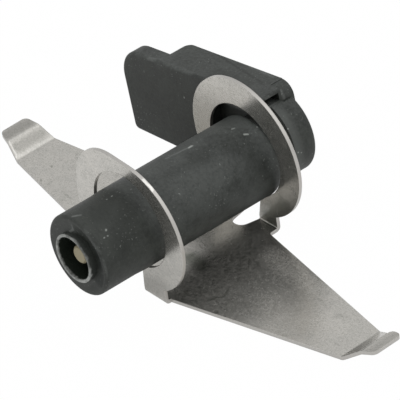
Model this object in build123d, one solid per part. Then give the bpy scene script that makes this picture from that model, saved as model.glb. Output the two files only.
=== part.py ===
from build123d import *
import os
from collections import namedtuple
from math import copysign, radians, sqrt, tan

# Camshaft position sensor: a moulded barrel with a right-angle connector,
# held by friction in a one-piece spring clip folded from stainless sheet.
# X runs along the clip's wings, Y along the barrel from nose to connector, Z up.
# While drawing, y is counted from the front ear's outer face and z from the top of
# the clip's plate. The finished parts have their origin under the plate's middle.

# Sheet of the clip
SHEET = 0.8
FOLD_INSIDE = 0.3
CLIP_DEPTH = 31.5
FOLD_REACH = SHEET + FOLD_INSIDE

# Ears of the clip: the rear one is round, the front one has a flatter top
REAR_RADIUS = 15.95
REAR_CENTRE = (0.5, 17.15)
FRONT_SIDE_RADIUS = 14.7
FRONT_SIDE_CENTRE = (1.4, 15.9)
FRONT_TOP_RADIUS = 11.6
FRONT_TOP_CENTRE = (-4.0, 19.3)
FRONT_HOLE_RADIUS = 10.8
FRONT_HOLE = (0.3, 16.9)
REAR_HOLE_RADIUS = 10.55
REAR_HOLE = (0.25, 16.5)

# Legs that join the ears to the plate, with the slot between them
FRONT_LEG_HALF = 8.1
REAR_LEG_HALF = 7.4
LEG_TOP_Z = 7.5
FRONT_SLOT = (-5.2, 1.7)
REAR_SLOT = (-3.2, 2.0)
FRONT_FLARE = 0.5
REAR_FLARE = 1.6
RELIEF_END = 5.3
RELIEF_ROUND = 2.05
REAR_RELIEF = (-2.75, 1.45)
CORNER_ROUND = 0.6

# Stations along each wing: root, foot of the step, head of the step and end of the lip,
# with z as the height of the top face
Station = namedtuple("Station", "x z front rear")
LEFT_WING = (
    Station(x=-7.4, z=0.0, front=2.17, rear=27.9),
    Station(x=-53.2, z=0.0, front=10.9, rear=21.25),
    Station(x=-57.3, z=2.2, front=12.1, rear=20.6),
    Station(x=-60.9, z=2.6, front=13.1, rear=20.0),
)
RIGHT_WING = (
    Station(x=7.4, z=0.0, front=1.23, rear=28.54),
    Station(x=47.6, z=0.0, front=11.2, rear=21.44),
    Station(x=51.4, z=2.5, front=12.8, rear=20.1),
    Station(x=54.4, z=3.0, front=14.1, rear=20.1),
)
RIGHT_TAB = (52.95, 19.35)
RIGHT_TAB_SIZE = (2.9, 3.7)
TAB_ROUND = 1.1
TIP_ROUND = 1.3
TIP_BEND = 0.8

# Place of the sensor in the clip: it sits nose up and turned about its own axis
AXIS_POINT_Y = 16.0
AXIS_POINT_Z = 14.75
NOSE_UP = 1.66
BODY_TURN = 7.4

# Barrel
BARREL_RADIUS = 9.0
NOSE_RADIUS = 8.86
NOSE_Y = -13.4
NOSE_STEP_Y = -4.5
NOSE_RAMP = 2.5
NOSE_EDGE = 0.7
FACE_POCKET_DEPTH = 0.6
FACE_POCKET_RADIUS = 8.0
FACE_POCKET_START = -48.0
FACE_POCKET_END = 84.0
SHOULDER_Y = 32.9
SHOULDER_ROUND = 1.2
NECK_RADIUS = 7.4
BACK_RADIUS = 9.5
ROUND_END_X = 0.35
ROUND_END_Z = 2.15
BACK_X = 0.0
BACK_Z = 1.7
BACK_Y = 41.9
BACK_ROUND = 1.0
BORE_RADIUS = 5.35
BORE_END_Y = 14.0
SEAT_GAP = 0.02

# Sensing sleeve and the carrier inside it
SLEEVE_FRONT_Y = -14.6
SLEEVE_INSIDE = 4.7
CARRIER_FRONT_Y = -8.6
PEG_FRONT_Y = -13.0
PEG_RADIUS = 1.95
PEG_ROOT = 1.2

# Connector block behind the rear ear
BLOCK_FRONT_Y = 33.6
BLOCK_REAR_Y = 42.3
TONGUE_REAR_Y = 37.1
TONGUE_END_X = -41.5
TONGUE_START_X = -28.0
BLOCK_RIGHT_X = 4.7
BLOCK_TOP_LEFT = 12.7
BLOCK_TOP_RIGHT = 13.4
BLOCK_BOTTOM_LEFT = -7.1
BLOCK_BOTTOM_RIGHT = -8.8
BLOCK_TOP_ROUND = 7.0
BLOCK_EDGE = 0.7
REAR_CORNER_Y = 39.1
REAR_CORNER_ROUND = 2.9

# Socket shroud behind the block
SHROUD_REAR_Y = 45.4
SHROUD_LEFT_X = -28.0
SHROUD_RIGHT_X = -9.0
SHROUD_TOP_Z = 6.75
SHROUD_BOTTOM_Z = -6.75
SOCKET_FRONT_Y = 37.4
SOCKET_WALL = 1.5
SOCKET_END_X = -13.0

# Electronics chamber, cover and board
CHAMBER_HALF_X = 5.0
CHAMBER_HALF_Z = 5.0
CHAMBER_FRONT_Y = 37.2
COVER_RADIUS = 8.2
COVER_THICKNESS = 1.0
BOARD_THICKNESS = 1.0

# Conductors
BLADE_Y = 40.4
BLADE_THICKNESS = 0.8
BLADE_WIDTH = 1.5
BLADE_TIP_X = -24.5
BLADE_TAIL_X = -4.0
BLADE_PITCH = 3.6
BLADE_CENTRE_Z = 0.0
TAIL_LENGTH = 0.8
LEAD_PITCH = 1.3
LEAD_WIDTH = 0.6
LEAD_THICKNESS = 0.4
LEAD_Z = -3.5
LEAD_END_Y = 38.6

# Sensing element, magnet and small parts on the board
CHIP_Y = -6.6
CHIP_THICKNESS = 1.5
CHIP_WIDTH = 4.1
CHIP_HEIGHT = 3.0
MAGNET_RADIUS = 2.6
MAGNET_LENGTH = 6.0
POLE_THICKNESS = 1.5
CAPACITOR_SIZE = (1.25, 1.1, 2.0)
RESISTOR_SIZE = (2.0, 0.5, 1.25)

BLADE_NAMES = ("ground_terminal", "signal_terminal", "supply_terminal")
LEAD_NAMES = ("ground_lead", "signal_lead", "supply_lead")


def box_between(x0, x1, y0, y1, z0, z1):
    return Pos((x0 + x1) / 2, (y0 + y1) / 2, (z0 + z1) / 2) * Box(x1 - x0, y1 - y0, z1 - z0)


def along_y(sketch, y0, y1):
    """Extrude a sketch, drawn as x and z, from y0 to y1."""
    face = Plane((0, y0, 0), x_dir=(1, 0, 0), z_dir=(0, -1, 0)) * sketch
    return extrude(face, amount=y1 - y0, dir=(0, 1, 0))


def rod(radius, y0, y1, x=0.0, z=0.0):
    return along_y(Pos(x, z) * Circle(radius), y0, y1)


def axis_height(y):
    return AXIS_POINT_Z - (y - AXIS_POINT_Y) * tan(radians(NOSE_UP))


def placed(solid):
    """Carry a solid from the sensor's own frame to its place in the clip."""
    to_point = Location((0, AXIS_POINT_Y, AXIS_POINT_Z))
    turn = Rotation(-NOSE_UP, 0, 0) * Rotation(0, -BODY_TURN, 0)
    return to_point * turn * Location((0, -AXIS_POINT_Y, 0)) * solid


# Retaining clip


def lowered(corners):
    """The same line one sheet thickness below, with its corners mitred."""
    steps = [(b - a).normalized() for a, b in zip(corners, corners[1:])]
    down = [Vector(step.Y, -step.X) for step in steps]
    before = [down[0], *down]
    after = [*down, down[-1]]
    return [
        corner + (n0 + n1) * (SHEET / (1 + n0.dot(n1)))
        for corner, n0, n1 in zip(corners, before, after)
    ]


def sheet_band():
    """The flat sheet with its stepped ends, as wide as the clip is deep."""
    stations = [*reversed(LEFT_WING[1:]), *RIGHT_WING[1:]]
    corners = [Vector(station.x, station.z) for station in stations]
    under = lowered(corners)
    wide = TIP_BEND + SHEET
    top = FilletPolyline(*corners, radius=[wide, TIP_BEND, TIP_BEND, wide])
    bottom = FilletPolyline(*under, radius=[TIP_BEND, wide, wide, TIP_BEND])
    ends = [Line(corners[0], under[0]), Line(corners[-1], under[-1])]
    return along_y(make_face([*top.edges(), *bottom.edges(), *ends]), 0, CLIP_DEPTH)


def wing_plan(wing):
    """Plan of one wing, from just inside the plate to the lip."""
    root = wing[0]
    inside_x = root.x - copysign(1, root.x)
    front = [(inside_x, root.front)] + [(station.x, station.front) for station in wing]
    rear = [(inside_x, root.rear)] + [(station.x, station.rear) for station in wing]
    plan = make_face(Polyline(*front, *reversed(rear), close=True))
    tip = plan.vertices().filter_by(lambda v: abs(v.X - wing[-1].x) < 0.01)
    return fillet(tip, TIP_ROUND)


def leg_root(half, y0, y1):
    """Part of the plate that is as wide as an ear's legs."""
    return Pos(0, (y0 + y1) / 2) * Rectangle(2 * half, y1 - y0)


def right_tab():
    """Rounded corner by which the right lip is wider than its step."""
    return Pos(*RIGHT_TAB) * RectangleRounded(*RIGHT_TAB_SIZE, TAB_ROUND)


def relief_plan(slot, reach):
    """Round-ended cut-out from an ear's slot into the plate, drawn at y = 0."""
    left, right = slot
    end_y = RELIEF_END - RELIEF_ROUND
    left_end = Pos(reach[0] + RELIEF_ROUND, end_y) * Circle(RELIEF_ROUND)
    right_end = Pos(reach[1] - RELIEF_ROUND, end_y) * Circle(RELIEF_ROUND)
    foot = Pos((left + right) / 2, 0) * Rectangle(right - left, 2 * FOLD_REACH)
    return make_hull([*left_end.edges(), *right_end.edges(), *foot.edges()])


def is_rear_corner(vertex):
    """True where the rear edge of a wing meets the side of the rear legs' root."""
    at_side = abs(abs(vertex.X) - REAR_LEG_HALF) < 0.01
    return at_side and CLIP_DEPTH / 2 < vertex.Y < CLIP_DEPTH - 2


def plate():
    front_root = leg_root(FRONT_LEG_HALF, FOLD_REACH, CLIP_DEPTH / 2)
    rear_root = leg_root(REAR_LEG_HALF, CLIP_DEPTH / 2 - 1, CLIP_DEPTH - FOLD_REACH)
    plan = front_root + rear_root + wing_plan(LEFT_WING) + wing_plan(RIGHT_WING) + right_tab()
    plan = fillet(plan.vertices().filter_by(is_rear_corner), CORNER_ROUND)
    rear_relief = mirror(relief_plan(REAR_SLOT, REAR_RELIEF), about=Plane.XZ)
    rear_relief = Pos(0, CLIP_DEPTH) * rear_relief
    plan = plan - relief_plan(FRONT_SLOT, FRONT_SLOT) - rear_relief
    return sheet_band() & extrude(Pos(0, 0, -5) * plan, amount=20)


def front_outline():
    """Outer line of the front ear's ring: round sides under a flatter, lopsided top."""
    x, z = FRONT_SIDE_CENTRE
    sides = [Pos(side * x, z) * Circle(FRONT_SIDE_RADIUS) for side in (-1, 1)]
    top = Pos(*FRONT_TOP_CENTRE) * Circle(FRONT_TOP_RADIUS)
    return make_hull([circle.edge() for circle in (*sides, top)])


def rear_outline():
    return Pos(*REAR_CENTRE) * Circle(REAR_RADIUS)


def slot_plan(slot, flare):
    """Slot between an ear's legs, opening by the flare on both sides towards its hole."""
    left, right = slot
    right_side = [(right, -2), (right, 1), (right + flare, LEG_TOP_Z)]
    left_side = [(left - flare, LEG_TOP_Z), (left, 1), (left, -2)]
    return make_face(Polyline(*right_side, *left_side, close=True))


def keyhole(ring, leg_half, hole, seat_z):
    """Ring on a foot, with its hole drawn out to the seat of the barrel, as x and z."""
    leg_height = LEG_TOP_Z + SHEET
    legs = Pos(0, LEG_TOP_Z - leg_height / 2) * Rectangle(2 * leg_half, leg_height)
    seat = Pos(0, seat_z) * Circle(BARREL_RADIUS + SEAT_GAP)
    return ring + legs - make_hull([hole.edge(), seat.edge()])


def fold_section():
    """Section of an upright ear with its fold, as distance from the outer face and z."""
    top = REAR_CENTRE[1] + REAR_RADIUS + 1
    half = sqrt(0.5)
    outer = ThreePointArc(
        (FOLD_REACH, -SHEET),
        (FOLD_REACH * (1 - half), FOLD_INSIDE - FOLD_REACH * half),
        (0, FOLD_INSIDE),
    )
    upright = Polyline((0, FOLD_INSIDE), (0, top), (SHEET, top), (SHEET, FOLD_INSIDE))
    inner = ThreePointArc(
        (SHEET, FOLD_INSIDE),
        (FOLD_REACH - FOLD_INSIDE * half, FOLD_INSIDE * (1 - half)),
        (FOLD_REACH, 0),
    )
    joint = Line((FOLD_REACH, 0), (FOLD_REACH, -SHEET))
    return make_face([*outer.edges(), *upright.edges(), *inner.edges(), joint])


def upright(outline):
    """An ear with its fold at y = 0, cut to the outline given as x and z."""
    strip = extrude(Plane.YZ * fold_section(), amount=REAR_RADIUS + 2, both=True)
    return strip & along_y(outline, -1, FOLD_REACH + 0.01)


def front_ear():
    hole = Pos(*FRONT_HOLE) * Circle(FRONT_HOLE_RADIUS)
    ring = keyhole(front_outline(), FRONT_LEG_HALF, hole, axis_height(SHEET / 2))
    return upright(ring - slot_plan(FRONT_SLOT, FRONT_FLARE))


def rear_ear():
    hole = Pos(*REAR_HOLE) * Circle(REAR_HOLE_RADIUS)
    ring = keyhole(rear_outline(), REAR_LEG_HALF, hole, axis_height(CLIP_DEPTH - SHEET / 2))
    ear = upright(ring - slot_plan(REAR_SLOT, REAR_FLARE))
    return Pos(0, CLIP_DEPTH, 0) * mirror(ear, about=Plane.XZ)


def retaining_clip():
    return plate() + front_ear() + rear_ear()


# Sensor housing, drawn about its own axis


def barrel():
    ramp_end = NOSE_STEP_Y + NOSE_RAMP
    points = [
        (BORE_RADIUS, NOSE_Y),
        (NOSE_RADIUS, NOSE_Y),
        (NOSE_RADIUS, NOSE_STEP_Y),
        (BARREL_RADIUS, ramp_end),
        (BARREL_RADIUS, SHOULDER_Y),
        (NECK_RADIUS, SHOULDER_Y),
        (NECK_RADIUS, BLOCK_REAR_Y - 1),
        (0, BLOCK_REAR_Y - 1),
        (0, BORE_END_Y),
        (BORE_RADIUS, BORE_END_Y),
    ]
    section = make_face(Polyline(*points, close=True))
    section = fillet(corner_at(section, NOSE_RADIUS, NOSE_Y), NOSE_EDGE)
    section = fillet(corner_at(section, BARREL_RADIUS, SHOULDER_Y), SHOULDER_ROUND)
    return revolve(section, axis=Axis.Y)


def corner_at(section, x, y):
    return section.vertices().filter_by(lambda v: abs(v.X - x) < 0.01 and abs(v.Y - y) < 0.01)


def round_end():
    """Round rear end of the housing, under the right end of the block."""
    end = rod(BACK_RADIUS, BLOCK_FRONT_Y + 2.5, BACK_Y, ROUND_END_X, ROUND_END_Z)
    return fillet(end.faces().sort_by(Axis.Y)[-1].edges(), BACK_ROUND)


def face_pocket():
    """Shallow crescent in the nose face beside the sensing sleeve."""
    start = FACE_POCKET_START
    sweep = FACE_POCKET_END - FACE_POCKET_START
    outer = CenterArc((0, 0), FACE_POCKET_RADIUS, start, sweep)
    inner = CenterArc((0, 0), BORE_RADIUS - 0.1, start, sweep)
    sides = [Line(outer @ 0, inner @ 0), Line(outer @ 1, inner @ 1)]
    crescent = make_face([*outer.edges(), *inner.edges(), *sides])
    return along_y(crescent, NOSE_Y - 0.1, NOSE_Y + FACE_POCKET_DEPTH)


def block_outline():
    points = [
        (TONGUE_END_X, BLOCK_BOTTOM_LEFT),
        (-1, BLOCK_BOTTOM_RIGHT),
        (BLOCK_RIGHT_X, -3),
        (BLOCK_RIGHT_X, BLOCK_TOP_RIGHT),
        (TONGUE_END_X, BLOCK_TOP_LEFT),
    ]
    outline = make_face(Polyline(*points, close=True))
    outline = fillet(corner_at(outline, TONGUE_END_X, BLOCK_TOP_LEFT), BLOCK_TOP_ROUND)
    outline = fillet(corner_at(outline, TONGUE_END_X, BLOCK_BOTTOM_LEFT), 1.3)
    return fillet(corner_at(outline, BLOCK_RIGHT_X, BLOCK_TOP_RIGHT), 0.5)


def connector_block():
    block = along_y(block_outline(), BLOCK_FRONT_Y, BLOCK_REAR_Y)
    behind_tongue = box_between(
        TONGUE_END_X - 1,
        TONGUE_START_X,
        TONGUE_REAR_Y,
        BLOCK_REAR_Y + 1,
        BLOCK_BOTTOM_LEFT - 3,
        BLOCK_TOP_RIGHT + 1,
    )
    block = block - behind_tongue
    step = block.edges().filter_by(Axis.Z).filter_by(lambda e: abs(e.center().X - TONGUE_START_X) < 0.01)
    block = fillet(step.sort_by(Axis.Y)[-1], 1.6)
    front = block.faces().sort_by(Axis.Y)[0]
    return fillet(front.edges(), BLOCK_EDGE)


def shroud():
    """Socket shell that carries the mating plug, open towards -X."""
    body = box_between(
        SHROUD_LEFT_X, SHROUD_RIGHT_X, BLOCK_FRONT_Y + 2, SHROUD_REAR_Y, SHROUD_BOTTOM_Z, SHROUD_TOP_Z
    )
    rear_edges = body.faces().sort_by(Axis.Y)[-1].edges().filter_by(Axis.X)
    body = fillet(rear_edges, 2.0)
    ramp = Polyline(
        (SHROUD_LEFT_X + 2, SHROUD_REAR_Y - 0.1),
        (SHROUD_LEFT_X + 7, SHROUD_REAR_Y + 1.4),
        (SHROUD_LEFT_X + 7.4, SHROUD_REAR_Y - 0.1),
        close=True,
    )
    lock = extrude(Pos(0, 0, BLADE_CENTRE_Z - 2) * make_face(ramp), amount=4)
    return body + lock


def socket_space():
    y0 = SOCKET_FRONT_Y
    y1 = SHROUD_REAR_Y - SOCKET_WALL
    z0 = SHROUD_BOTTOM_Z + SOCKET_WALL
    z1 = SHROUD_TOP_Z - SOCKET_WALL
    section = Pos((y0 + y1) / 2, (z0 + z1) / 2) * RectangleRounded(y1 - y0, z1 - z0, 1.4)
    face = Plane((SHROUD_LEFT_X - 20, 0, 0), x_dir=(0, 1, 0), z_dir=(1, 0, 0)) * section
    return extrude(face, amount=SOCKET_END_X - SHROUD_LEFT_X + 20, dir=(1, 0, 0))


def chamber():
    room = box_between(
        BACK_X - CHAMBER_HALF_X,
        BACK_X + CHAMBER_HALF_X,
        CHAMBER_FRONT_Y,
        BLOCK_REAR_Y + 1,
        BACK_Z - CHAMBER_HALF_Z,
        BACK_Z + CHAMBER_HALF_Z,
    )
    seat = rod(COVER_RADIUS, BACK_Y - COVER_THICKNESS, BLOCK_REAR_Y + 1, BACK_X, BACK_Z)
    return room + seat


def side_pocket():
    """Cored-out slot under the block's top wall, open towards +X."""
    return box_between(BLOCK_RIGHT_X - 2.6, BLOCK_RIGHT_X + 1, BLOCK_FRONT_Y + 0.9, 38.5, 11.0, 12.7)


def rear_corner():
    """What the block's rounder and slightly lower rear corner leaves out."""
    x = BLOCK_RIGHT_X - REAR_CORNER_ROUND
    z = BLOCK_TOP_RIGHT - REAR_CORNER_ROUND - 0.15
    y1 = BLOCK_REAR_Y + 1
    corner = box_between(x, BLOCK_RIGHT_X + 1, REAR_CORNER_Y, y1, z, BLOCK_TOP_RIGHT + 1)
    return corner - rod(REAR_CORNER_ROUND, REAR_CORNER_Y - 1, y1 + 1, x, z)


def root_pocket():
    """Recess in the block's front face around the neck of the barrel."""
    room = box_between(-13.0, 4.0, BLOCK_FRONT_Y - 1, BLOCK_FRONT_Y + 2.5, -1, 9.0)
    return room - rod(NECK_RADIUS, 30, 42)


def blade_height(index):
    return BLADE_CENTRE_Z + (index - 1) * BLADE_PITCH


def sensor_housing():
    body = barrel() + round_end() + connector_block() + shroud()
    body = body - face_pocket() - root_pocket() - side_pocket() - rear_corner()
    body = body - socket_space() - chamber()
    for index in range(3):
        body = body - terminal(index) - lead(index)
    return body


# Pieces in the nose


def sensing_sleeve():
    tube = rod(BORE_RADIUS, SLEEVE_FRONT_Y, BORE_END_Y)
    ring = tube - rod(SLEEVE_INSIDE, SLEEVE_FRONT_Y - 1, BORE_END_Y + 1)
    mouth = ring.faces().sort_by(Axis.Y)[0].edges()
    return chamfer(mouth, 0.15)


def hall_chip():
    half_x = CHIP_WIDTH / 2
    chip = box_between(-half_x, half_x, CHIP_Y, CHIP_Y + CHIP_THICKNESS, -CHIP_HEIGHT / 2, CHIP_HEIGHT / 2)
    front = chip.faces().sort_by(Axis.Y)[0].edges().filter_by(Axis.Z)
    return chamfer(front, 0.4)


def magnet_end():
    return CHIP_Y + CHIP_THICKNESS + MAGNET_LENGTH


def bias_magnet():
    return rod(MAGNET_RADIUS, magnet_end() - MAGNET_LENGTH, magnet_end())


def back_pole():
    return rod(MAGNET_RADIUS, magnet_end(), magnet_end() + POLE_THICKNESS)


def lead_x(index):
    return (index - 1) * LEAD_PITCH


def lead(index):
    """Flat conductor from the foot of the chip back to the board."""
    x0 = lead_x(index) - LEAD_WIDTH / 2
    x1 = lead_x(index) + LEAD_WIDTH / 2
    leg_y = CHIP_Y + 0.8
    leg = box_between(x0, x1, leg_y, leg_y + LEAD_THICKNESS, LEAD_Z - LEAD_THICKNESS / 2, -CHIP_HEIGHT / 2)
    run = box_between(x0, x1, leg_y, LEAD_END_Y, LEAD_Z - LEAD_THICKNESS / 2, LEAD_Z + LEAD_THICKNESS / 2)
    return leg + run


def sensing_peg():
    """Ivory peg on the carrier's front, in view through the nose."""
    peg = rod(PEG_RADIUS, PEG_FRONT_Y, CARRIER_FRONT_Y + PEG_ROOT)
    return chamfer(peg.faces().sort_by(Axis.Y)[0].edges(), 0.3)


def element_carrier():
    body = rod(SLEEVE_INSIDE, CARRIER_FRONT_Y, BORE_END_Y)
    body = body - sensing_peg() - hall_chip() - bias_magnet() - back_pole()
    for index in range(3):
        body = body - lead(index)
    return body


# Pieces in the connector


def terminal(index):
    """Flat blade with a tail that turns forward into the board."""
    z = blade_height(index)
    y0 = BLADE_Y - BLADE_THICKNESS / 2
    y1 = BLADE_Y + BLADE_THICKNESS / 2
    half = BLADE_WIDTH / 2
    blade = box_between(BLADE_TIP_X, BLADE_TAIL_X, y0, y1, z - half, z + half)
    tip = blade.faces().sort_by(Axis.X)[0].edges()
    blade = chamfer(tip, 0.3)
    tail = box_between(BLADE_TAIL_X - TAIL_LENGTH, BLADE_TAIL_X, CHAMBER_FRONT_Y, y1, z - 0.4, z + 0.4)
    return blade + tail


def circuit_board():
    board = box_between(
        BACK_X - CHAMBER_HALF_X,
        BACK_X + CHAMBER_HALF_X,
        CHAMBER_FRONT_Y,
        CHAMBER_FRONT_Y + BOARD_THICKNESS,
        BACK_Z - CHAMBER_HALF_Z,
        BACK_Z + CHAMBER_HALF_Z,
    )
    for index in range(3):
        board = board - terminal(index) - lead(index)
    return board


def on_board(size, x, z):
    """A small part on the board's rear face, with its size along x, y and z."""
    middle_y = CHAMBER_FRONT_Y + BOARD_THICKNESS + size[1] / 2
    return Pos(x, middle_y, z) * Box(*size)


def filter_capacitor():
    return on_board(CAPACITOR_SIZE, 2.4, 2.6)


def load_resistor():
    return on_board(RESISTOR_SIZE, -0.6, 0.6)


def rear_cover():
    lid = rod(COVER_RADIUS, BACK_Y - COVER_THICKNESS, BACK_Y, BACK_X, BACK_Z)
    return chamfer(lid.faces().sort_by(Axis.Y)[-1].edges(), 0.3)


def sensor_pieces():
    pieces = {
        "sensor_housing": sensor_housing(),
        "sensing_sleeve": sensing_sleeve(),
        "element_carrier": element_carrier(),
        "sensing_peg": sensing_peg(),
        "hall_chip": hall_chip(),
        "bias_magnet": bias_magnet(),
        "back_pole": back_pole(),
        "circuit_board": circuit_board(),
        "filter_capacitor": filter_capacitor(),
        "load_resistor": load_resistor(),
        "rear_cover": rear_cover(),
    }
    for index in range(3):
        pieces[BLADE_NAMES[index]] = terminal(index)
        pieces[LEAD_NAMES[index]] = lead(index)
    return pieces


def save(name, solid):
    under_plate = Location((0, -CLIP_DEPTH / 2, SHEET))
    export_step(under_plate * solid, f"parts/{name}.step")


def main():
    os.makedirs("parts", exist_ok=True)
    save("retaining_clip", retaining_clip())
    for name, piece in sensor_pieces().items():
        save(name, placed(piece))


main()
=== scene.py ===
from math import cos, radians, sin

import bpy
from mathutils import Matrix, Vector


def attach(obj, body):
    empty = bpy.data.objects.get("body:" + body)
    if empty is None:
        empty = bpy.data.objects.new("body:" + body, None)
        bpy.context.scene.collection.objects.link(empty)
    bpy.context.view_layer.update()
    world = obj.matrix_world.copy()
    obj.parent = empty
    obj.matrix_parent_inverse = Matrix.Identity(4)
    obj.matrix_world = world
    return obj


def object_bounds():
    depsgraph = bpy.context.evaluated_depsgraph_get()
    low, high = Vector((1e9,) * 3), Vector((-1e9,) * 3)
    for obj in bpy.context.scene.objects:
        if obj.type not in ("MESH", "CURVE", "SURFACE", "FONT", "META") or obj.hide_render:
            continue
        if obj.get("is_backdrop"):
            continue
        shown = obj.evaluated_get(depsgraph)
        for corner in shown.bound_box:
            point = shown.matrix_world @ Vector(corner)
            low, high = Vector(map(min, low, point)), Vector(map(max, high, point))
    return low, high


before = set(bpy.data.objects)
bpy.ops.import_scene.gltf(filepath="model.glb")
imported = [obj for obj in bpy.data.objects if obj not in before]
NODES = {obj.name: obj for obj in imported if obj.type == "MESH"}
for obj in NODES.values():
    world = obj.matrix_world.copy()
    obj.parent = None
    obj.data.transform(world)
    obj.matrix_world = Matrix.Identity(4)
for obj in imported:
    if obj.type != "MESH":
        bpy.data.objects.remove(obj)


def write_size(entry, sizes):
    low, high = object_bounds()
    sizes[entry] = [[float(v) for v in low], [float(v) for v in high]]


MM = 0.001
SIZES = {}
write_size("loaded", SIZES)

# Camera, as fitted to the photograph: angles in degrees, lengths in metres, slides in pixels
CAM_AZIMUTH = 54.131
CAM_ELEVATION = 36.277
CAM_ROLL = -8.729
CAM_DISTANCE = 0.7461
CAM_TARGET = Vector((0.0, 0.00025, 0.0128))
CAM_NEAR = 0.01
CAM_FAR = 20.0
PIXELS_PER_METRE = 4994.0
FRAME_PIXELS = 400.0
SLIDE_RIGHT = 7.860
SLIDE_UP = 1.015
SENSOR_MM = 36.0

# Steel of the clip, linear colours
# Painted highlight
STEEL_PAINTED_HIGHLIGHT = (0.85, 0.835, 0.80)
STEEL_LIGHT = (0.64, 0.62, 0.58)
STEEL_DARK = (0.53, 0.52, 0.49)
# Painted shade
STEEL_PAINTED_SHADE = (0.385, 0.375, 0.35)
# Colour of stains, and of painted dark reflections through the broad dark marks
STEEL_STAIN_AND_DARK_REFLECTION = (0.19, 0.20, 0.17)
STEEL_EDGE = (0.52, 0.505, 0.48)

# Noise of the steel: scale, detail and, where it isn't the usual one, roughness
STEEL_PATCH = (90.0, 5.0)
STEEL_MOTTLE = (520.0, 6.0, 0.7)
STEEL_BLOTCH = (330.0, 4.0, 0.65)
STEEL_HAIRS = (420.0, 3.0)
STEEL_HAIR_PLACES = (130.0, 2.0)
STEEL_GRAIN = (900.0, 2.0)
STEEL_PEPPER = (2300.0, 4.0, 0.8)
STEEL_DIRT = (1500.0, 5.0, 0.85)
HAIR_STRETCH = (0.10, 1.0, 1.0)
HAIR_TURN = (0.0, 0.0, 0.35)
GRAIN_STRETCH = (1.0, 6.0, 6.0)

# What values of the steel turn into: from low, from high and, where it isn't 0 to 1, to low, to high
PATCH_TO_TONE = (0.3, 0.75, 0.0, 0.35)
MOTTLE_TO_TONE = (0.3, 0.7, -0.15, 0.65)
BLOTCH_TO_STAIN = (0.60, 0.72, 0.0, 0.38)
PLACES_TO_HAIRS = (0.5, 0.62, 0.0, 0.35)
PEPPER_TO_STAIN = (0.48, 0.66, 0.0, 0.42)
MOTTLE_TO_ROUGH = (0.3, 0.75, 0.19, 0.30)
EDGE_TO_ROUGH = (0.0, 1.0, 0.0, 0.12)
DIRT_TO_SPOTS = (0.41, 0.63)
SPOTS_TO_METAL = (0.0, 1.0, 0.98, 0.80)
PATCH_TO_METAL = (0.35, 0.7, 0.0, -0.05)
FACE_TO_EDGE = (0.3, 0.6, 1.0, 0.0)

# The same for places on the clip, where the first two numbers are metres
EAR_PLACE_TO_DIRT = (0.0120, 0.0145, 1.0, 0.6)
WING_PLACE_TO_METAL = (0.009, 0.020, 0.0, -0.06)
EAR_REACH = (0.0170, 0.0175, 1.0, 0.0)
ABOVE_PLATE = (0.00085, 0.0012)

# Small forms of the steel: a wobble is scale and reach, a bump is strength and distance, in metres
MARK_WOBBLE = (700.0, 0.0010)
HAIR_MIDDLE = 0.5
HAIR_WIDTH = 0.006
EDGE_ROUND = 0.00018
EDGE_SAMPLES = 6
DENT_BUMP = (0.10, 0.0006)
GRAIN_BUMP = (0.012, 0.0001)

# Share of a stroke's half width that keeps its full strength
STROKE_CORE = 0.3

# Marks on the clip in millimetres: start, end, half width, share
# The broad ones match tones of the photograph and are painted reflections and shade; the narrow dark ones
# are stains and lines
STAINS_AND_DARK_REFLECTIONS = (
    ((14.2, -9.6, 0.8), (15.6, -6.8, 0.8), 0.45, 0.6),
    ((15.6, -6.8, 0.8), (14.7, -5.0, 0.8), 0.35, 0.5),
    ((18.3, -11.6, 0.8), (18.5, -11.2, 0.8), 0.6, 0.6),
    ((11.4, 0.6, 0.8), (11.6, 0.4, 0.8), 0.5, 0.5),
    ((13.9, -1.6, 0.8), (13.8, -1.4, 0.8), 0.5, 0.5),
    ((12.9, 4.7, 0.8), (13.0, 4.5, 0.8), 0.5, 0.4),
    ((-45.8, -1.3, 0.8), (-45.6, -1.4, 0.8), 0.4, 0.5),
    ((-43.7, -5.9, 0.8), (-43.5, -6.1, 0.8), 0.4, 0.5),
    ((-2.6, 2.1, 0.8), (1.0, 1.7, 0.8), 0.18, 0.7),
    ((-1.9, 1.0, 0.8), (1.5, 0.7, 0.8), 0.15, 0.6),
    ((-1.2, 2.9, 0.8), (1.9, 2.6, 0.8), 0.12, 0.5),
    # Painted reflection of the dark barrel on the plate
    ((0.7, -2.9, 0.8), (5.0, -3.3, 0.8), 2.5, 0.8),
    # Painted dark reflection low on the rear ear's face
    ((5.0, 14.95, 2.6), (11.0, 14.95, 8.0), 3.0, 0.7),
    ((3.2, 15.0, 33.7), (3.4, 15.7, 33.6), 0.30, 0.8),
)
# Painted shade on the tilted steps of both tips and low on the front ear's face
PAINTED_SHADE_MARKS = (
    ((-55.5, -2.6, 2.0), (-55.4, 3.9, 2.0), 2.2, 1.0),
    ((-59.3, -2.6, 3.1), (-59.2, 3.4, 3.1), 2.4, 1.0),
    ((1.5, -15.75, 2.6), (8.5, -15.75, 4.2), 3.2, 0.6),
    ((53.5, -3.0, 3.5), (53.5, 5.0, 3.5), 1.8, 0.6),
)
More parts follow.
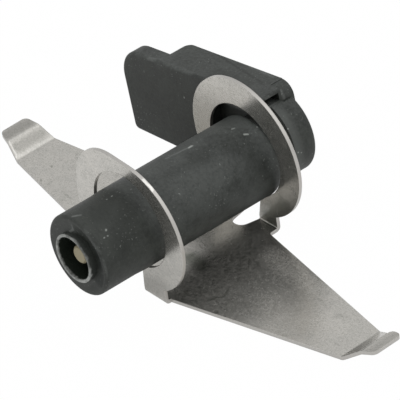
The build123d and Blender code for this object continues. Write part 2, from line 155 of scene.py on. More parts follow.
# Painted reflections of light on the wings and high on the rear ear's face
PAINTED_LIGHT_REFLECTIONS = (
    ((23.6, -1.7, 0.8), (30.9, -3.0, 0.8), 3.0, 0.5),
    ((33.0, -1.6, 0.8), (40.0, 1.0, 0.8), 4.0, 0.8),
    ((15.0, 7.6, 0.8), (26.0, 7.0, 0.8), 3.0, 0.7),
    ((-36.0, 4.0, 0.8), (-30.0, 2.0, 0.8), 2.5, 0.3),
    ((-9.0, 14.95, 29.0), (2.0, 14.95, 31.0), 4.0, 0.8),
)
HAZY_MARKS = (
    ((13.5, 8.2, 0.8), (28.0, 7.4, 0.8), 4.0, 0.13),
    ((24.0, -2.0, 0.8), (30.0, -5.0, 0.8), 5.0, 0.06),
)
# Painted highlights along the bends of the left tip and on the front ear's rim
PAINTED_HIGHLIGHT_MARKS = (
    ((-53.8, -4.3, 1.1), (-53.4, 5.0, 1.0), 0.60, 0.12),
    ((-57.4, -3.2, 3.0), (-57.3, 3.9, 3.0), 0.45, 0.10),
    ((-57.2, -3.2, 3.0), (-53.8, -4.4, 1.1), 0.28, 0.6),
    ((6.8, -15.4, 30.5), (9.2, -15.4, 29.1), 0.45, 1.0),
)

# Plastic of the housing, linear colours
PLASTIC_DARK = (0.0095, 0.0120, 0.0095)
PLASTIC_LIGHT = (0.033, 0.0375, 0.0325)
# Dust, and painted light on the tops and on the barrel
PLASTIC_DUST_AND_PAINTED_LIGHT = (0.082, 0.089, 0.086)
# Pale scuffs, painted highlights, and painted light in the gap
PLASTIC_SCUFF_AND_PAINTED_LIGHT = (0.145, 0.155, 0.148)
# Painted shade in the nose's hollow
PLASTIC_PAINTED_HOLLOW_SHADE = (0.006, 0.009, 0.007)
DUST = (0.32, 0.34, 0.32)
PLASTIC_SHINE = 0.4

# Noise of the plastic, and what it turns into, as for the steel
PLASTIC_CLOUD = (120.0, 8.0, 0.78)
PLASTIC_FINE = (1500.0, 4.0, 0.7)
PLASTIC_SPECKS = (2300.0, 2.0)
SPECK_GROUPS = (160.0, 2.0)
CLOUD_TO_TONE = (0.38, 0.62)
FINE_TO_TONE = (0.30, 0.70, -0.30, 0.30)
FINE_TO_GRIT = (0.30, 0.72, 0.0, 0.55)
# Painted light on the barrel between the ears
CLOUD_TO_BARREL_LIGHT = (0.36, 0.66, 0.0, 0.30)
FINE_TO_SCUFF_AND_HIGHLIGHT = (0.30, 0.62, 0.45, 1.0)
SPECKS_TO_DOTS = (0.66, 0.72)
GROUPS_TO_DOTS = (0.42, 0.60, 0.05, 0.4)
CLOUD_TO_ROUGH = (0.3, 0.7, 0.46, 0.62)
# Dust and painted top light on what faces up
UPWARD_TO_DUST_AND_LIGHT = (0.2, 1.0)
DARK_SCUFF_AND_SHADE_SHARE = 0.9

# The same for places on the housing, then small forms of the plastic
# Painted light: the plastic gets lighter higher up
HEIGHT_TO_PAINTED_LIGHT = (0.004, 0.026, -0.10, 0.18)
NOSE_TO_DUST_AND_LIGHT = (-0.019, -0.014, 0.15, 0.9)
# Where the painted light on the barrel starts and ends
BARREL_FRONT = (-0.017, -0.010)
BARREL_REAR = (0.0155, 0.0165, 1.0, 0.0)
# Painted light in the gap behind the rear ear
GAP_FRONT = (0.0172, 0.0180)
GAP_REAR = (0.0215, 0.0230, 1.0, 0.0)
GAP_AROUND = (0.0113, 0.0122, 0.30, 0.0)
SHARP_WOBBLE = (900.0, 0.0004)
LOOSE_WOBBLE = (240.0, 0.0050)
CLOUD_BUMP = (0.10, 0.0008)
FINE_BUMP = (0.2, 0.0001)

# Marks on the housing in millimetres, as on the clip
# Pale scuffs and painted highlights along the ridges, on the barrel's top and round the nose's edge
SCUFFS_AND_PAINTED_HIGHLIGHTS = (
    ((-36.5, 18.1, 22.9), (-32.1, 18.3, 23.7), 0.6, 0.22),
    ((-32.9, 18.2, 23.5), (-30.6, 18.4, 23.9), 0.7, 0.6),
    ((-27.6, 18.4, 24.3), (-18.9, 18.5, 25.6), 0.7, 0.30),
    ((-19.5, 27.5, 25.4), (-2.0, 26.3, 28.0), 0.5, 0.40),
    ((3.0, 19.9, 28.4), (2.3, 24.4, 27.6), 0.45, 0.45),
    ((2.3, 24.5, 27.6), (3.2, 24.3, 26.2), 0.45, 0.4),
    ((-1.9, -3.1, 24.4), (-1.1, 2.8, 24.4), 0.40, 0.6),
    ((0.0, -26.8, 25.2), (-0.8, -28.1, 25.2), 0.40, 0.9),
    ((-0.8, -28.1, 25.2), (-0.2, -28.9, 22.9), 0.40, 0.9),
    ((-0.2, -28.9, 22.9), (-1.3, -29.0, 21.7), 0.40, 0.9),
    ((3.5, -28.7, 24.4), (8.2, -28.9, 20.4), 0.45, 0.3),
    ((8.2, -28.9, 20.4), (9.0, -29.0, 15.0), 0.45, 0.3),
    ((-12.8, 20.4, 17.0), (-9.5, 20.4, 22.0), 3.5, 0.35),
    ((6.5, -6.0, 21.9), (6.9, 7.0, 21.2), 4.5, 0.13),
    ((-1.0, 10.5, 24.2), (3.0, 15.0, 23.4), 2.5, 0.20),
    ((0.0, -8.0, 24.7), (0.8, -1.8, 24.6), 2.5, 0.22),
    ((-31.0, 24.0, 24.3), (-29.0, 19.0, 24.2), 2.5, 0.18),
)
DUST_SPOTS = (
    ((-1.05, 2.3, 24.4), (-1.1, 3.0, 24.4), 0.40, 0.9),
    ((3.3, 13.1, 23.5), (3.6, 13.7, 23.4), 0.30, 1.0),
    ((0.8, 12.8, 24.1), (0.6, 12.2, 24.2), 0.22, 0.8),
    ((3.2, 16.5, 23.4), (3.2, 16.6, 23.4), 0.25, 0.7),
    ((-21.8, 17.95, 18.7), (-21.8, 17.95, 18.6), 0.28, 0.6),
    ((7.7, 20.65, 22.8), (7.7, 20.7, 22.7), 0.25, 0.8),
    ((9.56, 21.0, 17.5), (9.56, 21.1, 17.4), 0.25, 0.7),
    ((9.57, 21.9, 17.0), (9.57, 22.0, 16.9), 0.20, 0.6),
    ((5.5, -25.15, 23.2), (5.5, -25.2, 23.2), 0.30, 0.7),
    ((6.4, -25.5, 22.4), (6.4, -25.6, 22.4), 0.20, 0.6),
    ((6.35, -26.5, 22.5), (6.35, -26.4, 22.5), 0.20, 0.6),
    ((-0.1, -18.6, 25.0), (-0.1, -18.7, 25.0), 0.22, 0.7),
    ((-0.1, -19.9, 25.0), (-0.1, -20.0, 25.0), 0.18, 0.6),
)
# Small dark scuffs, and broad painted shade on the barrel's top, the nose and low on the block's front
DARK_SCUFFS_AND_PAINTED_SHADE = (
    ((-20.2, 26.7, 25.3), (-2.1, 23.4, 28.0), 0.45, 0.6),
    ((7.5, 4.0, 20.4), (7.6, 4.1, 20.3), 0.35, 0.7),
    ((8.4, 4.5, 18.6), (8.5, 4.6, 18.4), 0.45, 0.7),
    ((8.2, 5.5, 19.0), (8.3, 5.6, 18.8), 0.35, 0.6),
    ((8.3, 2.0, 19.0), (8.4, 2.1, 18.8), 0.35, 0.6),
    ((8.6, 3.3, 17.9), (8.6, 3.4, 17.8), 0.40, 0.6),
    ((2.8, 3.0, 24.0), (0.5, -6.0, 24.4), 3.0, 0.45),
    ((3.0, -18.0, 24.3), (8.0, -24.0, 20.0), 3.5, 0.45),
    ((0.0, -18.5, 25.0), (2.5, -24.5, 24.7), 3.0, 0.45),
    ((-12.0, 17.9, 20.0), (-22.0, 17.9, 6.0), 6.0, 0.35),
    ((-4.0, 20.0, 27.2), (-14.0, 21.5, 25.8), 2.5, 0.35),
    ((4.0, 8.0, 23.2), (8.0, 12.0, 18.0), 2.5, 0.35),
)

# Sleeve in the nose: linear colours, and noise, ranges and places as above
# Painted shade inside the sleeve
SLEEVE_INSIDE_SHADE = (0.010, 0.014, 0.010)
SLEEVE_OUTSIDE = (0.030, 0.034, 0.030)
SLEEVE_PALE = (0.33, 0.34, 0.325)
SLEEVE_ROUGH = 0.5
SLEEVE_SHINE = 0.3
SLEEVE_UNEVEN = (620.0, 4.0, 0.7)
SLEEVE_WOBBLE = (800.0, 0.0012)
SLEEVE_BUMP = (0.5, 0.0004)
UNEVEN_TO_RIM = (0.32, 0.58, 0.25, 1.0)
FOLD_TO_RIM = (0.0, 1.0, 1.0, 0.45)
RIM_DEPTH = (-0.0302, -0.0298, 1.0, 0.0)
FOLD_RIGHT = (-0.0005, 0.0030)
FOLD_ABOVE = (0.0150, 0.0180)
SLEEVE_WALL = (0.0048, 0.0051)

# Painted shade in a crescent beside the sleeve: where it starts and ends, in metres
NOSE_CENTRE = Vector((0.0, 0.0, 0.0164))
CRESCENT_INNER = (0.0054, 0.0064)
CRESCENT_OUTER = (0.0068, 0.0084, 1.0, 0.0)
CRESCENT_RIGHT = (-0.001, 0.004)
CRESCENT_DEPTH = (-0.0286, -0.0278, 1.0, 0.0)
CRESCENT_SHARE = 0.75

# Sockets of a Mix node that is set to colours
MIX_SHARE = 0
MIX_FIRST = 6
MIX_SECOND = 7
MIX_RESULT = 2

# Small parts, linear colours
IVORY = (0.33, 0.29, 0.185)
CARRIER_BLACK = (0.005, 0.007, 0.005)
MAGNET_GREY = (0.16, 0.16, 0.17)
BOARD_GREEN = (0.02, 0.14, 0.05)
CERAMIC_TAN = (0.30, 0.22, 0.13)
RESISTOR_BLACK = (0.03, 0.03, 0.03)
TINNED_BRASS = (0.62, 0.56, 0.40)
PLAIN_NOISE = (300.0, 3.0)
PLAIN_RANGE = (0.3, 0.7)
PLAIN_SPREAD = 0.15
PLAIN_ROUGH_SPREAD = 0.05

# Sensor axis and the hollow in the nose's face, millimetres and degrees
AXIS_POINT = Vector((0.0, 0.25, 15.55))
NOSE_UP = 1.66
BODY_TURN = 7.4
HOLLOW_INSIDE = 5.4
HOLLOW_OUTSIDE = 7.98
HOLLOW_FLOOR = -28.80
HOLLOW_FACE = -29.41
HOLLOW_SUNK = 0.1
HOLLOW_STEPS = 16
UPPER_END = (58.0, 84.0)
LOWER_END = (-18.0, -48.0)

# Light of the studio, as radiance: an even sky, more overhead, and one soft box
SKY = 0.71
ROOF_LIGHT = 0.52
ROOF_EDGE = 0.66
BOX_LIGHT = 0.44
BOX_TOWARDS = (0.58, 0.49, 0.65)
BOX_EDGE = 0.80
BOX_CORE = 0.97
OVERHEAD = (0.0, 0.0, 1.0)
WHITE = (1.0, 1.0, 1.0, 1.0)

# Paper floor: its paint, its glow to the light and to the view, and the glow's share in both
FLOOR_SIZE = 3.0
FLOOR_BELOW = 0.0002
FLOOR_PAINT = 0.9
FLOOR_GLOW = 0.89
VIEW_GLOW = 1.0
FLOOR_OWN_LIGHT = 0.45
FLOOR_TO_VIEW = 0.99


# Camera


def add_camera():
    """Camera at the photograph's angle, slid sideways so that its middle is the photograph's."""
    azimuth = radians(CAM_AZIMUTH)
    elevation = radians(CAM_ELEVATION)
    roll = radians(CAM_ROLL)
    back = Vector((sin(azimuth) * cos(elevation), -cos(azimuth) * cos(elevation), sin(elevation)))
    right = Vector((cos(azimuth), sin(azimuth), 0.0))
    up = back.cross(right)
    side = cos(roll) * right + sin(roll) * up
    top = -sin(roll) * right + cos(roll) * up
    place = CAM_TARGET + back * CAM_DISTANCE
    place = place + side * (SLIDE_RIGHT / PIXELS_PER_METRE) + top * (SLIDE_UP / PIXELS_PER_METRE)
    data = bpy.data.cameras.new("camera")
    data.sensor_width = SENSOR_MM
    data.lens = SENSOR_MM * PIXELS_PER_METRE * CAM_DISTANCE / FRAME_PIXELS
    data.clip_start = CAM_NEAR
    data.clip_end = CAM_FAR
    camera = bpy.data.objects.new("camera", data)
    bpy.context.scene.collection.objects.link(camera)
    turn = Matrix((side, top, back)).transposed().to_4x4()
    camera.matrix_world = Matrix.Translation(place) @ turn
    bpy.context.scene.camera = camera


# Node helpers


def new_material(name):
    material = bpy.data.materials.new(name)
    material.use_nodes = True
    tree = material.node_tree
    tree.nodes.clear()
    output = tree.nodes.new("ShaderNodeOutputMaterial")
    shader = tree.nodes.new("ShaderNodeBsdfPrincipled")
    tree.links.new(shader.outputs["BSDF"], output.inputs["Surface"])
    return material, tree, shader


def object_point(tree, scale=(1.0, 1.0, 1.0), turn=(0.0, 0.0, 0.0)):
    coordinates = tree.nodes.new("ShaderNodeTexCoord")
    mapping = tree.nodes.new("ShaderNodeMapping")
    mapping.inputs["Scale"].default_value = scale
    mapping.inputs["Rotation"].default_value = turn
    tree.links.new(coordinates.outputs["Object"], mapping.inputs["Vector"])
    return mapping.outputs["Vector"]


def noise(tree, point, scale, detail=4.0, rough=0.55):
    node = tree.nodes.new("ShaderNodeTexNoise")
    node.inputs["Scale"].default_value = scale
    node.inputs["Detail"].default_value = detail
    node.inputs["Roughness"].default_value = rough
    tree.links.new(point, node.inputs["Vector"])
    return node.outputs["Fac"]


def remap(tree, value, low, high, to_low=0.0, to_high=1.0):
    node = tree.nodes.new("ShaderNodeMapRange")
    node.inputs["From Min"].default_value = low
    node.inputs["From Max"].default_value = high
    node.inputs["To Min"].default_value = to_low
    node.inputs["To Max"].default_value = to_high
    tree.links.new(value, node.inputs["Value"])
    return node.outputs["Result"]


def mix_colour(tree, share, first, second):
    node = tree.nodes.new("ShaderNodeMix")
    node.data_type = "RGBA"
    tree.links.new(share, node.inputs[MIX_SHARE])
    for socket, colour in ((node.inputs[MIX_FIRST], first), (node.inputs[MIX_SECOND], second)):
        if isinstance(colour, tuple):
            socket.default_value = (*colour, 1.0)
        else:
            tree.links.new(colour, socket)
    return node.outputs[MIX_RESULT]


def bump(tree, height, strength, distance, normal=None):
    node = tree.nodes.new("ShaderNodeBump")
    node.inputs["Strength"].default_value = strength
    node.inputs["Distance"].default_value = distance
    tree.links.new(height, node.inputs["Height"])
    if normal is not None:
        tree.links.new(normal, node.inputs["Normal"])
    return node.outputs["Normal"]


def number(tree, operation, *values):
    """Result of one sum on sockets and plain numbers."""
    node = tree.nodes.new("ShaderNodeMath")
    node.operation = operation
    for socket, value in zip(node.inputs, values):
        if isinstance(value, float):
            socket.default_value = value
        else:
            tree.links.new(value, socket)
    return node.outputs["Value"]


def product(tree, first, second):
    return number(tree, "MULTIPLY", first, second)


def total(tree, first, second):
    return number(tree, "ADD", first, second)


def vector(tree, operation, *values):
    """Result of one sum on sockets and plain vectors."""
    node = tree.nodes.new("ShaderNodeVectorMath")
    node.operation = operation
    for socket, value in zip(node.inputs, values):
        if isinstance(value, Vector):
            socket.default_value = value
        else:
            tree.links.new(value, socket)
    if operation in ("DOT_PRODUCT", "LENGTH"):
        return node.outputs["Value"]
    return node.outputs["Vector"]


def split(tree, value):
    node = tree.nodes.new("ShaderNodeSeparateXYZ")
    tree.links.new(value, node.inputs["Vector"])
    return node.outputs


def wobble(tree, point, scale, reach):
    """The point, moved by a small wandering offset that makes a drawn line irregular."""
    node = tree.nodes.new("ShaderNodeTexNoise")
    node.inputs["Scale"].default_value = scale
    tree.links.new(point, node.inputs["Vector"])
    centred = vector(tree, "SUBTRACT", node.outputs["Color"], Vector((0.5, 0.5, 0.5)))
    offset = vector(tree, "MULTIPLY", centred, Vector((reach, reach, reach)))
    return vector(tree, "ADD", point, offset)


# Marks drawn in the materials


def stroke(tree, point, start, end, half_width, share):
    """Soft line between two places given in millimetres."""
    first = Vector(start) * MM
    along = (Vector(end) - Vector(start)) * MM
    from_start = vector(tree, "SUBTRACT", point, first)
    part = vector(tree, "DOT_PRODUCT", from_start, along / along.length_squared)
    reach = tree.nodes.new("ShaderNodeVectorMath")
    reach.operation = "SCALE"
    reach.inputs[0].default_value = along
    tree.links.new(remap(tree, part, 0.0, 1.0), reach.inputs["Scale"])
    offset = vector(tree, "SUBTRACT", from_start, reach.outputs["Vector"])
    distance = vector(tree, "LENGTH", offset)
    return remap(tree, distance, STROKE_CORE * half_width * MM, half_width * MM, share, 0.0)


def strokes(tree, point, marks):
    """Strongest of several strokes at each place."""
    strongest = None
    for mark in marks:
        share = stroke(tree, point, *mark)
        strongest = share if strongest is None else number(tree, "MAXIMUM", strongest, share)
    return strongest


# Steel of the clip


def cut_edge(tree):
    """Share that is 1 on the sheet's sheared edges and 0 on its two faces."""
    coordinates = tree.nodes.new("ShaderNodeTexCoord")
    normal = split(tree, coordinates.outputs["Normal"])
    place = split(tree, coordinates.outputs["Object"])
    near = remap(tree, number(tree, "ABSOLUTE", place["X"]), *EAR_REACH)
    upright = product(tree, near, remap(tree, place["Z"], *ABOVE_PLATE))
    lying = number(tree, "SUBTRACT", 1.0, upright)
    ear_face = product(tree, upright, number(tree, "ABSOLUTE", normal["Y"]))
    flat_face = product(tree, lying, number(tree, "ABSOLUTE", normal["Z"]))
    return remap(tree, total(tree, ear_face, flat_face), *FACE_TO_EDGE)


def hair_lines(tree, point):
    """Share of thin slanting scratches, which gather in some places."""
    lines = noise(tree, object_point(tree, HAIR_STRETCH, HAIR_TURN), *STEEL_HAIRS)
    thin = number(tree, "COMPARE", lines, HAIR_MIDDLE, HAIR_WIDTH)
    places = noise(tree, point, *STEEL_HAIR_PLACES)
    return product(tree, thin, remap(tree, places, *PLACES_TO_HAIRS))


def steel_colour(tree, point, wavy, patch, mottle, edge):
    tone = total(tree, remap(tree, patch, *PATCH_TO_TONE), remap(tree, mottle, *MOTTLE_TO_TONE))
    blotch = noise(tree, point, *STEEL_BLOTCH)
    pepper = noise(tree, point, *STEEL_PEPPER)
    colour = mix_colour(tree, tone, STEEL_LIGHT, STEEL_DARK)
    # Blotches, hair lines, pepper and sheared edges are the steel's own; the broad dark marks are painted
    # reflections, the light marks painted reflections of light, the dull marks painted shade and the bright
    # marks painted highlights
    for share, paint in (
        (remap(tree, blotch, *BLOTCH_TO_STAIN), STEEL_STAIN_AND_DARK_REFLECTION),
        (hair_lines(tree, point), STEEL_STAIN_AND_DARK_REFLECTION),
        (strokes(tree, wavy, STAINS_AND_DARK_REFLECTIONS), STEEL_STAIN_AND_DARK_REFLECTION),
        (strokes(tree, wavy, PAINTED_LIGHT_REFLECTIONS), STEEL_LIGHT),
        (strokes(tree, wavy, PAINTED_SHADE_MARKS), STEEL_PAINTED_SHADE),
        (remap(tree, pepper, *PEPPER_TO_STAIN), STEEL_STAIN_AND_DARK_REFLECTION),
        (edge, STEEL_EDGE),
        (strokes(tree, wavy, PAINTED_HIGHLIGHT_MARKS), STEEL_PAINTED_HIGHLIGHT),
    ):
        colour = mix_colour(tree, share, colour, paint)
    return colour


def steel_metal(tree, point, wavy, patch):
    """How metallic the steel is: less under dirt and haze, and out on the right wing."""
    place = split(tree, point)
    dirt = noise(tree, point, *STEEL_DIRT)
    lying = remap(tree, number(tree, "ABSOLUTE", place["Y"]), *EAR_PLACE_TO_DIRT)
    spots = product(tree, remap(tree, dirt, *DIRT_TO_SPOTS), lying)
    dull = total(tree, remap(tree, spots, *SPOTS_TO_METAL), remap(tree, patch, *PATCH_TO_METAL))
    dull = total(tree, dull, remap(tree, place["X"], *WING_PLACE_TO_METAL))
    return number(tree, "SUBTRACT", dull, strokes(tree, wavy, HAZY_MARKS))


def satin_steel():
    """Dull sheet steel with stains and fine scratches, painted reflections, shade and highlights, its edges
    rounded by shading.
    """
    material, tree, shader = new_material("satin_steel")
    point = object_point(tree)
    wavy = wobble(tree, point, *MARK_WOBBLE)
    patch = noise(tree, point, *STEEL_PATCH)
    mottle = noise(tree, point, *STEEL_MOTTLE)
    grain = noise(tree, object_point(tree, GRAIN_STRETCH), *STEEL_GRAIN)
    edge = cut_edge(tree)
    colour = steel_colour(tree, point, wavy, patch, mottle, edge)
    rough = total(tree, remap(tree, mottle, *MOTTLE_TO_ROUGH), remap(tree, edge, *EDGE_TO_ROUGH))
    rounded = tree.nodes.new("ShaderNodeBevel")
    rounded.samples = EDGE_SAMPLES
    rounded.inputs["Radius"].default_value = EDGE_ROUND
    dents = bump(tree, patch, *DENT_BUMP, rounded.outputs["Normal"])
    tree.links.new(colour, shader.inputs["Base Color"])
    tree.links.new(rough, shader.inputs["Roughness"])
    tree.links.new(steel_metal(tree, point, wavy, patch), shader.inputs["Metallic"])
    tree.links.new(bump(tree, grain, *GRAIN_BUMP, dents), shader.inputs["Normal"])
    return material


# Plastic of the sensor


def ring_distance(tree, point):
    """Distance from a level line through the middle of the nose."""
    flat = vector(tree, "MULTIPLY", point, Vector((1.0, 0.0, 1.0)))
    return vector(tree, "LENGTH", vector(tree, "SUBTRACT", flat, NOSE_CENTRE))


def crescent(tree, point):
    """Share of the painted shade in the hollow beside the sleeve in the nose's face."""
    place = split(tree, point)
    away = ring_distance(tree, point)
    band = product(tree, remap(tree, away, *CRESCENT_INNER), remap(tree, away, *CRESCENT_OUTER))
    right = remap(tree, place["X"], *CRESCENT_RIGHT)
    side = product(tree, right, remap(tree, place["Y"], *CRESCENT_DEPTH))
    return product(tree, band, product(tree, side, CRESCENT_SHARE))


def ragged_sleeve():
    """Black outside, darker inside as painted shade, with a pale uneven rim."""
    material, tree, shader = new_material("ragged_sleeve")
    point = object_point(tree)
    place = split(tree, point)
    uneven = noise(tree, point, *SLEEVE_UNEVEN)
    ragged = split(tree, wobble(tree, point, *SLEEVE_WOBBLE))
    rim = product(tree, remap(tree, ragged["Y"], *RIM_DEPTH), remap(tree, uneven, *UNEVEN_TO_RIM))
    folded = product(tree, remap(tree, place["X"], *FOLD_RIGHT), remap(tree, place["Z"], *FOLD_ABOVE))
    rim = product(tree, rim, remap(tree, folded, *FOLD_TO_RIM))
    outside = remap(tree, ring_distance(tree, point), *SLEEVE_WALL)
    wall = mix_colour(tree, outside, SLEEVE_INSIDE_SHADE, SLEEVE_OUTSIDE)
    tree.links.new(mix_colour(tree, rim, wall, SLEEVE_PALE), shader.inputs["Base Color"])
    shader.inputs["Roughness"].default_value = SLEEVE_ROUGH
    shader.inputs["Specular IOR Level"].default_value = SLEEVE_SHINE
    tree.links.new(bump(tree, uneven, *SLEEVE_BUMP), shader.inputs["Normal"])
    return material


def dust_and_painted_top_light(tree, facing, place, fine):
    """Share of the dust and painted top light on what faces up, with less of it on the nose."""
    upward = product(tree, remap(tree, facing["Z"], *UPWARD_TO_DUST_AND_LIGHT), remap(tree, place["Y"], *NOSE_TO_DUST_AND_LIGHT))
    return product(tree, upward, remap(tree, fine, *FINE_TO_GRIT))


def barrel_painted_light(tree, place, cloud):
    """Share of the painted light on the barrel between the two ears, where they shade it."""
    barrel = product(tree, remap(tree, place["Y"], *BARREL_FRONT), remap(tree, place["Y"], *BARREL_REAR))
    return product(tree, barrel, remap(tree, cloud, *CLOUD_TO_BARREL_LIGHT))


def gap_painted_light(tree, point, place):
    """Share of the painted light that lifts the shade in the gap behind the rear ear."""
    behind = product(tree, remap(tree, place["Y"], *GAP_FRONT), remap(tree, place["Y"], *GAP_REAR))
    return product(tree, behind, remap(tree, ring_distance(tree, point), *GAP_AROUND))


def dust_dots(tree, point):
    """Share of small specks, which gather in groups."""
    specks = remap(tree, noise(tree, point, *PLASTIC_SPECKS), *SPECKS_TO_DOTS)
    return product(tree, specks, remap(tree, noise(tree, point, *SPECK_GROUPS), *GROUPS_TO_DOTS))


def plastic_colour(tree, point, cloud, fine):
    coordinates = tree.nodes.new("ShaderNodeTexCoord")
    facing = split(tree, coordinates.outputs["Normal"])
    place = split(tree, coordinates.outputs["Object"])
    sharp = wobble(tree, point, *SHARP_WOBBLE)
    loose = wobble(tree, point, *LOOSE_WOBBLE)
    # Random tone plus painted light that grows with height
    tone = total(tree, remap(tree, cloud, *CLOUD_TO_TONE), remap(tree, place["Z"], *HEIGHT_TO_PAINTED_LIGHT))
    tone = total(tree, tone, remap(tree, fine, *FINE_TO_TONE))
    pale = product(tree, strokes(tree, sharp, SCUFFS_AND_PAINTED_HIGHLIGHTS), remap(tree, fine, *FINE_TO_SCUFF_AND_HIGHLIGHT))
    colour = mix_colour(tree, tone, PLASTIC_DARK, PLASTIC_LIGHT)
    # Dust, specks and scuffs are the plastic's own; painted top light, painted light on the barrel and in
    # the gap, painted highlights with the pale scuffs, painted shade with the dark scuffs and in the
    # crescent
    for share, paint in (
        (dust_and_painted_top_light(tree, facing, place, fine), PLASTIC_DUST_AND_PAINTED_LIGHT),
        (barrel_painted_light(tree, place, cloud), PLASTIC_DUST_AND_PAINTED_LIGHT),
        (product(tree, strokes(tree, sharp, DARK_SCUFFS_AND_PAINTED_SHADE), DARK_SCUFF_AND_SHADE_SHARE), PLASTIC_DARK),
        (pale, PLASTIC_SCUFF_AND_PAINTED_LIGHT),
        (crescent(tree, loose), PLASTIC_PAINTED_HOLLOW_SHADE),
        (gap_painted_light(tree, point, place), PLASTIC_SCUFF_AND_PAINTED_LIGHT),
        (dust_dots(tree, point), DUST),
        (strokes(tree, sharp, DUST_SPOTS), DUST),
    ):
        colour = mix_colour(tree, share, colour, paint)
    return colour


def dusty_plastic():
    """Black moulding with clouds of wear, scuffs and dust, and painted light, highlights and shade."""
    material, tree, shader = new_material("dusty_plastic")
    point = object_point(tree)
    cloud = noise(tree, point, *PLASTIC_CLOUD)
    fine = noise(tree, point, *PLASTIC_FINE)
    soft = bump(tree, cloud, *CLOUD_BUMP)
    tree.links.new(plastic_colour(tree, point, cloud, fine), shader.inputs["Base Color"])
    tree.links.new(remap(tree, cloud, *CLOUD_TO_ROUGH), shader.inputs["Roughness"])
    tree.links.new(bump(tree, fine, *FINE_BUMP, soft), shader.inputs["Normal"])
    shader.inputs["Specular IOR Level"].default_value = PLASTIC_SHINE
    return material


# Small parts and what wears which material


def plain(name, colour, rough, metallic=0.0):
    """Lightly clouded material of a small part."""
    material, tree, shader = new_material(name)
    cloud = noise(tree, object_point(tree), *PLAIN_NOISE)
    darker = tuple(v * (1.0 - PLAIN_SPREAD) for v in colour)
    smooth = rough - PLAIN_ROUGH_SPREAD
    coarse = rough + PLAIN_ROUGH_SPREAD
    tree.links.new(mix_colour(tree, cloud, darker, colour), shader.inputs["Base Color"])
    tree.links.new(remap(tree, cloud, *PLAIN_RANGE, smooth, coarse), shader.inputs["Roughness"])
    shader.inputs["Metallic"].default_value = metallic
    return material


def dress(material, *names):
    for name in names:
        for slot in NODES[name].material_slots:
            slot.material = material


def dress_all():
    contacts = ("ground_terminal", "signal_terminal", "supply_terminal")
    leads = ("ground_lead", "signal_lead", "supply_lead")
    dress(satin_steel(), "retaining_clip")
    dress(dusty_plastic(), "sensor_housing", "rear_cover")
    dress(ragged_sleeve(), "sensing_sleeve")
    dress(plain("ivory_plastic", IVORY, rough=0.5), "sensing_peg")
    dress(plain("black_plastic", CARRIER_BLACK, rough=0.6), "element_carrier", "hall_chip")
    dress(plain("magnet_metal", MAGNET_GREY, rough=0.4, metallic=0.8), "bias_magnet", "back_pole")
    dress(plain("solder_mask", BOARD_GREEN, rough=0.4), "circuit_board")
    dress(plain("ceramic", CERAMIC_TAN, rough=0.5), "filter_capacitor")
    dress(plain("resistor_black", RESISTOR_BLACK, rough=0.4), "load_resistor")
    dress(plain("tinned_brass", TINNED_BRASS, rough=0.3, metallic=1.0), *contacts, *leads)


# Softened ends of the hollow in the nose's face


def nose_matrix():
    """Frame of the sensor's own axis, which is turned and raised in the clip."""
    turn = Matrix.Rotation(radians(-NOSE_UP), 4, "X") @ Matrix.Rotation(radians(-BODY_TURN), 4, "Y")
    return Matrix.Translation(AXIS_POINT * MM) @ turn


def hollow_section(angle, front):
    """Four corners across the hollow, from under its floor up to the given depth."""
    bottom = HOLLOW_FLOOR + HOLLOW_SUNK
    corners = (
        (HOLLOW_INSIDE, bottom),
        (HOLLOW_OUTSIDE, bottom),
        (HOLLOW_OUTSIDE, front),
        (HOLLOW_INSIDE, front),
    )
    return [Vector((radius * cos(angle), depth, radius * sin(angle))) for radius, depth in corners]


def add_hollow_end(name, start, end):
    """Sloped filling that rises from the hollow's floor to the nose's face."""
    matrix = nose_matrix()
    places = []
    faces = [(0, 1, 2, 3)]
    for step in range(HOLLOW_STEPS + 1):
        part = step / HOLLOW_STEPS
        angle = radians(start + (end - start) * part)
        front = HOLLOW_FLOOR - (HOLLOW_FLOOR - HOLLOW_FACE) * part * part * (3.0 - 2.0 * part)
        places += [matrix @ (corner * MM) for corner in hollow_section(angle, front)]
    for step in range(HOLLOW_STEPS):
        base = 4 * step
        for side in range(4):
            follow = (side + 1) % 4
            faces.append((base + side, base + 4 + side, base + 4 + follow, base + follow))
    last = 4 * HOLLOW_STEPS
    faces.append((last + 3, last + 2, last + 1, last))
    mesh = bpy.data.meshes.new(name)
    mesh.from_pydata([tuple(v) for v in places], [], faces)
    piece = bpy.data.objects.new(name, mesh)
    bpy.context.scene.collection.objects.link(piece)
    mesh.materials.append(NODES["sensor_housing"].material_slots[0].material)
    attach(piece, "root")


# Stage and light


def direction_share(tree, direction, axis, low, high):
    """Share that rises smoothly from 0 to 1 while the direction turns towards an axis."""
    towards = vector(tree, "DOT_PRODUCT", direction, Vector(axis).normalized())
    node = tree.nodes.new("ShaderNodeMapRange")
    node.interpolation_type = "SMOOTHSTEP"
    node.inputs["From Min"].default_value = low
    node.inputs["From Max"].default_value = high
    tree.links.new(towards, node.inputs["Value"])
    return node.outputs["Result"]


def plus_share(tree, base, share, weight):
    """Base plus a share times its weight."""
    return number(tree, "MULTIPLY_ADD", share, weight, base)


def mix_shaders(tree, share, first, second):
    """Blend of two shaders, all of the second where the share is 1."""
    mix = tree.nodes.new("ShaderNodeMixShader")
    tree.links.new(share, mix.inputs["Fac"])
    tree.links.new(first, mix.inputs[1])
    tree.links.new(second, mix.inputs[2])
    return mix.outputs["Shader"]


def camera_ray(tree):
    return tree.nodes.new("ShaderNodeLightPath").outputs["Is Camera Ray"]


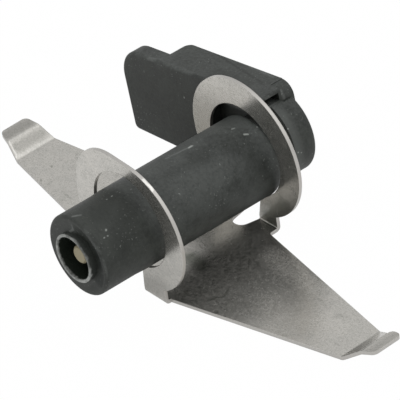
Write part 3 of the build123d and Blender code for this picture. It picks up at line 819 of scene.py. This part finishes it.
def add_world():
    """Plain white to the camera, a studio with a roof light and a soft box to everything else."""
    world = bpy.data.worlds.new("studio")
    bpy.context.scene.world = world
    world.use_nodes = True
    tree = world.node_tree
    tree.nodes.clear()
    output = tree.nodes.new("ShaderNodeOutputWorld")
    direction = tree.nodes.new("ShaderNodeTexCoord").outputs["Generated"]
    box = direction_share(tree, direction, BOX_TOWARDS, BOX_EDGE, BOX_CORE)
    roof = direction_share(tree, direction, OVERHEAD, ROOF_EDGE, 1.0)
    level = plus_share(tree, plus_share(tree, SKY, box, BOX_LIGHT), roof, ROOF_LIGHT)
    studio = tree.nodes.new("ShaderNodeBackground")
    backdrop = tree.nodes.new("ShaderNodeBackground")
    backdrop.inputs["Strength"].default_value = VIEW_GLOW
    for light in (studio, backdrop):
        light.inputs["Color"].default_value = WHITE
    tree.links.new(level, studio.inputs["Strength"])
    shown = mix_shaders(tree, camera_ray(tree), studio.outputs["Background"], backdrop.outputs["Background"])
    tree.links.new(shown, output.inputs["Surface"])


def floor_paper():
    """Nearly white to the camera, lit paper to everything else."""
    material = bpy.data.materials.new("floor_white")
    material.use_nodes = True
    tree = material.node_tree
    tree.nodes.clear()
    output = tree.nodes.new("ShaderNodeOutputMaterial")
    to_view = camera_ray(tree)
    paint = tree.nodes.new("ShaderNodeBsdfDiffuse")
    paint.inputs["Color"].default_value = (FLOOR_PAINT, FLOOR_PAINT, FLOOR_PAINT, 1.0)
    glow = tree.nodes.new("ShaderNodeEmission")
    strength = plus_share(tree, FLOOR_GLOW, to_view, VIEW_GLOW - FLOOR_GLOW)
    tree.links.new(strength, glow.inputs["Strength"])
    share = plus_share(tree, FLOOR_OWN_LIGHT, to_view, FLOOR_TO_VIEW - FLOOR_OWN_LIGHT)
    shown = mix_shaders(tree, share, paint.outputs["BSDF"], glow.outputs["Emission"])
    tree.links.new(shown, output.inputs["Surface"])
    return material


def add_floor():
    """Sheet of paper just below the clip, which is a stage and no part of the object."""
    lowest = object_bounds()[0][2]
    bpy.ops.mesh.primitive_plane_add(size=FLOOR_SIZE, location=(0.0, 0.0, lowest - FLOOR_BELOW))
    floor = bpy.context.object
    floor.name = "floor"
    floor.data.materials.append(floor_paper())
    floor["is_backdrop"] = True


add_camera()
dress_all()
add_hollow_end("upper_hollow_end", *UPPER_END)
add_hollow_end("lower_hollow_end", *LOWER_END)
add_world()
add_floor()
bpy.context.scene.view_settings.view_transform = "Standard"

write_size("finished", SIZES)
